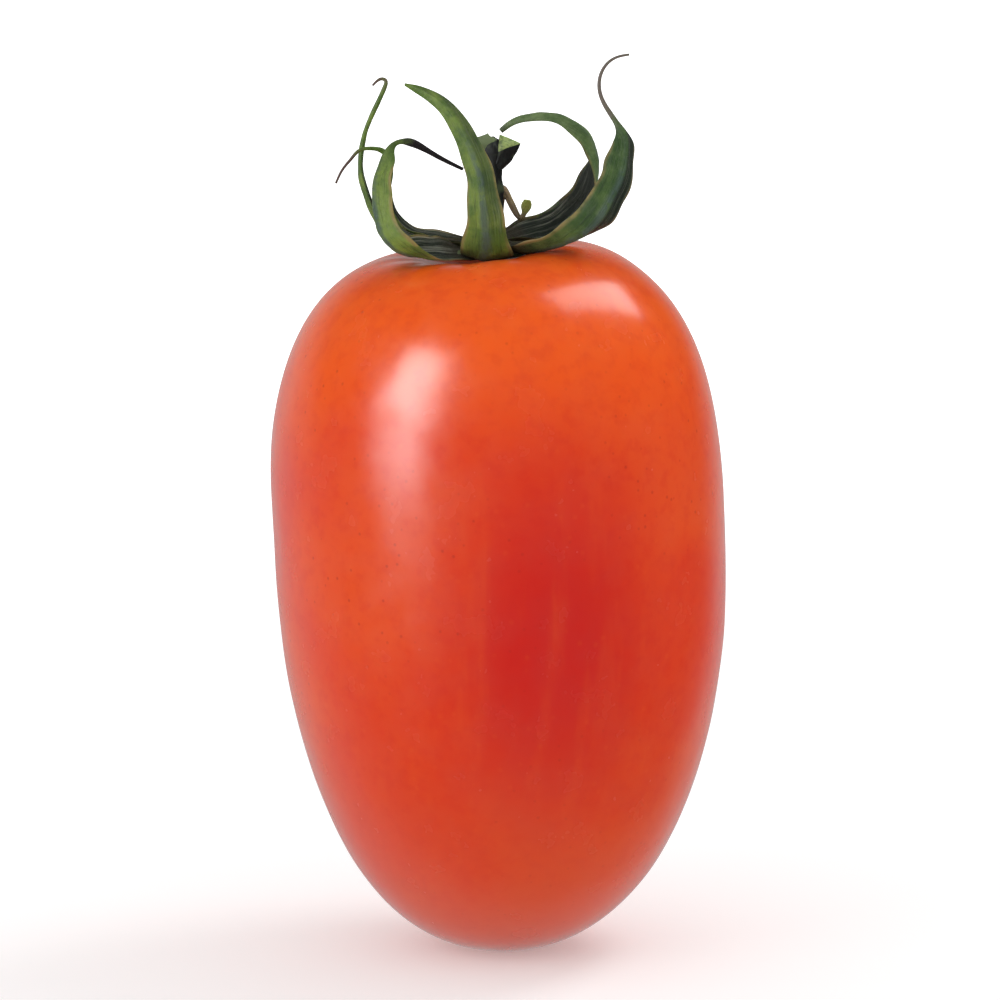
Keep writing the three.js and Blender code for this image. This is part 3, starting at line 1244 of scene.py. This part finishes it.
@dataclass
class CalyxDisc:
    """The green disc that the sepals grow from, with a raised collar round the stalk."""

    radius: float = 2.7
    underside: float = 0.05
    edge_rise: float = 0.55
    thickness: float = 0.55
    collar_radius: float = 1.0
    collar_rise: float = 0.55
    scallops: int = 7
    scallop_depth: float = 0.05
    bumps: Bumps = (0.7, 0.07, 2.7)
    rings: int = 26
    sides: int = 96

    def shape(self) -> np.ndarray:
        """Work out the disc, from the middle of its underside to the middle of its top.

        Returns:
            Points in millimetres from the disc's middle, row after row.
        """
        share = np.linspace(0.02, 1.0, self.rings)
        under = np.stack([share, self.underside + self.edge_rise * share**2], axis=1)
        back = share[::-1]
        top = self.underside + self.edge_rise * back**2 + self.thickness * (1.0 - back**6)
        collar = smoothstep(1.4, 0.6, back * self.radius / self.collar_radius)
        top = top + self.collar_rise * collar
        profile = np.concatenate([under, np.stack([back, top], axis=1)])
        angle = 2.0 * np.pi * np.arange(self.sides) / self.sides
        scallop = 1.0 + self.scallop_depth * np.cos(self.scallops * angle + 0.4)
        reach = profile[:, :1] * self.radius * scallop[None, :]
        height = profile[:, 1:] * np.ones_like(reach)
        points = np.stack([reach * np.cos(angle), reach * np.sin(angle), height], axis=-1)
        return points.reshape(-1, 3)

    def build(self, middle: np.ndarray) -> bpy.types.Object:
        """Build the disc.

        Args:
            middle: Middle of the calyx, in millimetres.

        Returns:
            The finished piece.
        """
        points = self.shape()
        size, depth, seed = self.bumps
        points[:, 2] += depth * bumpy(points, size, seed)
        reach = np.linalg.norm(points[:, :2], axis=1) / self.radius
        marks = {
            SHARE_ATTRIBUTE: 0.25 * reach,
            ACROSS_ATTRIBUTE: np.clip(reach, 0.0, 0.8),
            INNER_ATTRIBUTE: smoothstep(0.2, 0.6, points[:, 2]),
        }
        surface = Surface()
        surface.add(points + middle, tube_faces(2 * self.rings, self.sides), marks)
        finish = LeafFinish("leaf_disc", tip_from=1.2, rib_strength=0.0, inner_shade=0.7)
        return seat(surface.build("green_disc", [finish.build()]), "calyx_disc")


@dataclass(frozen=True)
class Ring:
    """A closed row of points round a centre, spanned by two half axes."""

    centre: Point
    right: Point
    up: Point
    corners: float = 0.0

    def points(self, sides: int) -> np.ndarray:
        """Points of the ring, in millimetres.

        Args:
            sides: How many points to place.

        Returns:
            The points, anticlockwise seen against right x up.
        """
        angle = 2.0 * np.pi * np.arange(sides) / sides
        third = 2.0 * np.pi / 3.0
        triangle = 0.62 / np.cos(np.mod(angle, third) - third / 2.0)
        reach = 1.0 + self.corners * (triangle - 1.0)
        across = (reach * np.cos(angle))[:, None] * np.array(self.right)
        return np.array(self.centre) + across + (reach * np.sin(angle))[:, None] * np.array(self.up)


class StalkFace(IntEnum):
    """Which of the stalk's finishes a face wears."""

    BARK = 0
    BREAK = 1
    OLIVE = 2


@dataclass
class Stalk:
    """The stub of the fruit stalk: ridged shaft, knobbly joint and the pale break."""

    radius: float = 0.52
    foot_radius: float = 0.95
    joint_radius: float = 0.75
    ridges: int = 5
    ridge_depth: float = 0.07
    steps: int = 90
    sides: int = 48
    route: tuple[Point, ...] = (
        (0.15, 0.0, 0.6),
        (0.2, 0.0, 2.4),
        (0.2, 0.0, 4.2),
        (0.15, 0.0, 6.0),
        (0.1, 0.0, 7.6),
    )
    branch_foot: Ring = Ring((0.2, 0.0, 5.7), (0.35, 0.0, -0.25), (0.0, 0.4, 0.1))
    branch_end: Ring = Ring((0.95, -0.45, 7.25), (0.72, 0.1, -0.05), (0.02, 0.25, 0.48), 1.0)
    branch_bulge: Point = (0.10, -0.04, -0.14)
    lump_centre: Point = (-0.4, -0.25, 7.15)
    lump_size: Point = (0.75, 0.5, 0.58)
    rows: int = 24
    shaft_bumps: Bumps = (0.8, 0.09, 1.5)
    lump_bumps: Bumps = (0.55, 0.22, 9.5)
    branch_bumps: Bumps = (0.5, 0.05, 2.5)

    def shaft(self) -> np.ndarray:
        """Work out the ridged shaft and its swollen joint.

        Returns:
            The points in millimetres, row after row.
        """
        path = Path.through(self.route, self.steps, (1.0, 0.0, 0.0))
        share = np.linspace(0.0, 1.0, self.steps + 1)[:, None]
        angle = (2.0 * np.pi * np.arange(self.sides) / self.sides)[None, :]
        radius = self.radius + (self.foot_radius - self.radius) * (1.0 - smoothstep(0.0, 0.2, share))
        swell = smoothstep(0.72, 0.92, share)
        close = np.sqrt(np.clip(1.0 - smoothstep(0.90, 1.0, share) ** 2, 0.02, 1.0))
        radius = (radius + (self.joint_radius - self.radius) * swell) * close
        ridge = 1.0 + self.ridge_depth * np.cos(self.ridges * angle + 1.2 * share)
        lump = 1.0 + 0.16 * swell * np.cos(2.0 * angle + 2.6) + 0.10 * swell * np.cos(3.0 * angle)
        reach = radius * ridge * lump
        return path.place(reach * np.cos(angle), reach * np.sin(angle))

    def branch(self) -> np.ndarray:
        """Work out the short branch that snapped off, from its foot to the break.

        Returns:
            The points in millimetres, row after row.
        """
        share = np.linspace(0.0, 1.0, self.rows)[:, None, None]
        foot = self.branch_foot.points(self.sides)[None]
        end = self.branch_end.points(self.sides)[None]
        bulge = np.array(self.branch_bulge) * np.sin(np.pi * share)
        return (foot * (1.0 - share) + end * share + bulge).reshape(-1, 3)

    def lump(self) -> np.ndarray:
        """Work out the knobbly swelling beside the joint.

        Returns:
            The points in millimetres, row after row.
        """
        tilt = np.linspace(0.02, 0.98, self.rows)[:, None] * np.pi
        angle = (2.0 * np.pi * np.arange(self.sides) / self.sides)[None, :]
        ball = np.stack(
            [
                np.sin(tilt) * np.cos(angle),
                np.sin(tilt) * np.sin(angle),
                -np.cos(tilt) * np.ones_like(angle),
            ],
            axis=-1,
        ).reshape(-1, 3)
        return np.array(self.lump_centre) + ball * np.array(self.lump_size)

    def build(self, middle: np.ndarray) -> bpy.types.Object:
        """Build the stalk.

        Args:
            middle: Middle of the calyx, in millimetres.

        Returns:
            The finished piece.
        """
        surface = Surface()
        shaft = roughened(self.shaft(), *self.shaft_bumps)
        surface.add(shaft + middle, tube_faces(self.steps + 1, self.sides), {})
        faces = tube_faces(self.rows, self.sides)
        lump = roughened(self.lump(), *self.lump_bumps)
        surface.add(lump + middle, faces, {}, StalkFace.OLIVE)
        branch = roughened(self.branch(), *self.branch_bumps)
        surface.add(branch + middle, faces[:-1], {}, StalkFace.BARK)
        surface.faces.append(tuple(surface.count - self.sides + side for side in range(self.sides)))
        surface.slots.append(int(StalkFace.BREAK))
        olive = StalkFinish("stalk_olive", green=(0.15, 0.20, 0.08), green_share=1.0)
        finishes = {
            StalkFace.BARK: StalkFinish(),
            StalkFace.BREAK: BreakFinish(),
            StalkFace.OLIVE: olive,
        }
        materials = [finishes[face].build() for face in StalkFace]
        return seat(surface.build("stalk_stub", materials), "stalk")


# -------------------------------------------------------------------- studio


class Reach(Enum):
    """What a light shows in."""

    EVERYTHING = "everything"
    SHINE = "shine only"


@dataclass(frozen=True)
class Softbox:
    """A rectangular soft light that faces the object."""

    name: str
    azimuth: float
    elevation: float
    distance: float
    width: float
    height: float
    radiance: float
    roll: float = 0.0
    reach: Reach = Reach.EVERYTHING

    def build(self, target: Vector) -> bpy.types.Object:
        """Place the light.

        Args:
            target: Point that the light faces, in metres.

        Returns:
            The light's object.
        """
        light = bpy.data.lights.new(self.name, "AREA")
        light.shape = "RECTANGLE"
        light.size = self.width
        light.size_y = self.height
        light.energy = self.radiance * math.pi * self.width * self.height
        azimuth, elevation = math.radians(self.azimuth), math.radians(self.elevation)
        away = Vector((math.sin(azimuth), -math.cos(azimuth), math.tan(elevation))).normalized()
        lamp = bpy.data.objects.new(self.name, light)
        turn = away.to_track_quat("Z", "Y").to_matrix().to_4x4()
        roll = Matrix.Rotation(math.radians(self.roll), 4, "Z")
        lamp.matrix_world = Matrix.Translation(target + away * self.distance) @ turn @ roll
        lamp.visible_diffuse = self.reach is Reach.EVERYTHING
        bpy.context.scene.collection.objects.link(lamp)
        return lamp


@dataclass
class Studio:
    """Pale floor, soft lights, a bright surround and the camera."""

    camera_elevation: float = 10.0
    camera_distance: float = 0.41
    lens: float = 240.0
    sensor: float = 36.0
    nearest: float = 0.01
    aim_side: float = -0.00018
    aim_height: float = 0.02800
    floor_radius: float = 1.2
    fill: float = 0.78
    below_share: float = 0.9
    left_share: float = 0.32
    glow_range: tuple[float, float] = (0.03, 0.30)
    glow_levels: tuple[float, float] = (0.28, 0.95)
    mirror_range: tuple[float, float] = (0.3, 1.1)
    mirror_levels: tuple[float, float] = (0.02, 0.50)
    boxes: tuple[Softbox, ...] = (
        Softbox("key_light", -50.0, 20.0, 0.32, 0.15, 0.29, 1.1, -6.0),
        Softbox("key_shine", -50.0, 20.0, 0.32, 0.15, 0.29, 13.0, -6.0, Reach.SHINE),
        Softbox("key_shine_top", -50.0, 31.0, 0.32, 0.14, 0.15, 4.0, -6.0, Reach.SHINE),
        Softbox("top_light", 121.0, 51.0, 0.32, 0.10, 0.23, 3.6, 30.0),
    )

    def floor(self) -> bpy.types.Object:
        """Lay the floor.

        Returns:
            The floor's object.
        """
        shader = Shader("pale_floor")
        glow = shader.ease(shader.length(shader.place), *self.glow_range, *self.glow_levels)
        shader.finish(
            Base_Color=(0.80, 0.80, 0.80),
            Roughness=0.9,
            Specular_IOR_Level=0.0,
            Emission_Color=(1.0, 1.0, 1.0),
            Emission_Strength=glow,
        )
        corners = 96
        angle = 2.0 * np.pi * np.arange(corners) / corners
        rim = np.stack([np.cos(angle), np.sin(angle), 0.0 * angle], axis=1)
        surface = Surface()
        surface.add(rim * self.floor_radius / MM, [tuple(range(corners))], {})
        floor = surface.build("floor", [shader.material])
        floor.visible_glossy = False
        return floor

    def surround(self) -> None:
        """Light the scene from all round.

        The eye sees white. Matte surfaces get an even fill. Glossy surfaces mirror a
        room that is dark towards the viewer and overhead, and pale behind and below.
        """
        world = bpy.data.worlds.new("surround")
        bpy.context.scene.world = world
        world.use_nodes = True
        tree = world.node_tree
        tree.nodes.clear()
        link = tree.links.new
        direction = tree.nodes.new("ShaderNodeTexCoord").outputs["Generated"]
        behind = tree.nodes.new("ShaderNodeVectorMath")
        behind.operation = "DOT_PRODUCT"
        link(direction, behind.inputs[0])
        behind.inputs[1].default_value = (-self.left_share, 1.0, -self.below_share)
        mirrored = tree.nodes.new("ShaderNodeMapRange")
        mirrored.interpolation_type = "SMOOTHSTEP"
        link(behind.outputs["Value"], mirrored.inputs["Value"])
        limits = (*self.mirror_range, *self.mirror_levels)
        for socket, value in zip(mirrored.inputs[1:5], limits):
            socket.default_value = value
        path = tree.nodes.new("ShaderNodeLightPath")
        strengths = (self.fill, mirrored.outputs["Result"], 1.0)
        lights = []
        for strength in strengths:
            light = tree.nodes.new("ShaderNodeBackground")
            light.inputs["Color"].default_value = (1.0, 1.0, 1.0, 1.0)
            if isinstance(strength, float):
                light.inputs["Strength"].default_value = strength
            else:
                link(strength, light.inputs["Strength"])
            lights.append(light.outputs[0])
        shown = lights[0]
        for ray, light in zip(("Is Glossy Ray", "Is Camera Ray"), lights[1:]):
            mix = tree.nodes.new("ShaderNodeMixShader")
            link(path.outputs[ray], mix.inputs[0])
            link(shown, mix.inputs[1])
            link(light, mix.inputs[2])
            shown = mix.outputs[0]
        output = tree.nodes.new("ShaderNodeOutputWorld")
        link(shown, output.inputs["Surface"])

    def camera(self) -> bpy.types.Object:
        """Place the camera.

        Returns:
            The camera's object.
        """
        data = bpy.data.cameras.new("camera")
        data.lens = self.lens
        data.sensor_width = self.sensor
        data.clip_start = self.nearest
        elevation = math.radians(self.camera_elevation)
        aim = Vector((self.aim_side, 0.0, self.aim_height))
        away = Vector((0.0, -math.cos(elevation), math.sin(elevation)))
        camera = bpy.data.objects.new("camera", data)
        camera.matrix_world = Matrix.Translation(aim + away * self.camera_distance) @ (
            away.to_track_quat("Z", "Y").to_matrix().to_4x4()
        )
        bpy.context.scene.collection.objects.link(camera)
        bpy.context.scene.camera = camera
        return camera

    def build(self) -> None:
        """Set up the whole studio."""
        low, high = (Vector(corner) for corner in CAD_BOX)
        target = (low + high) / 2.0
        self.camera()
        self.floor()
        self.surround()
        for box in self.boxes:
            box.build(target)
        bpy.context.scene.view_settings.view_transform = "Standard"
        log.info("studio: %d soft lights round %s", len(self.boxes), tuple(target))


# ---------------------------------------------------------------------- main


def calyx_middle() -> np.ndarray:
    """Find the calyx's middle, at the underside of its disc.

    Returns:
        The point that all sepal routes are measured from, in millimetres.
    """
    low, high = (np.array(corner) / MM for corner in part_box("calyx_disc"))
    return np.array([*((low + high) / 2.0)[:2], low[2]])


def main() -> None:
    """Build every piece in order, then the studio."""
    logging.basicConfig(level=logging.INFO, format="%(name)s: %(message)s")
    middle = calyx_middle()
    Fruit().build()
    CalyxDisc().build(middle)
    for sepal in SEPALS:
        sepal.build(middle)
    Stalk().build(middle)
    Studio().build()


if __name__ == "__main__":
    main()
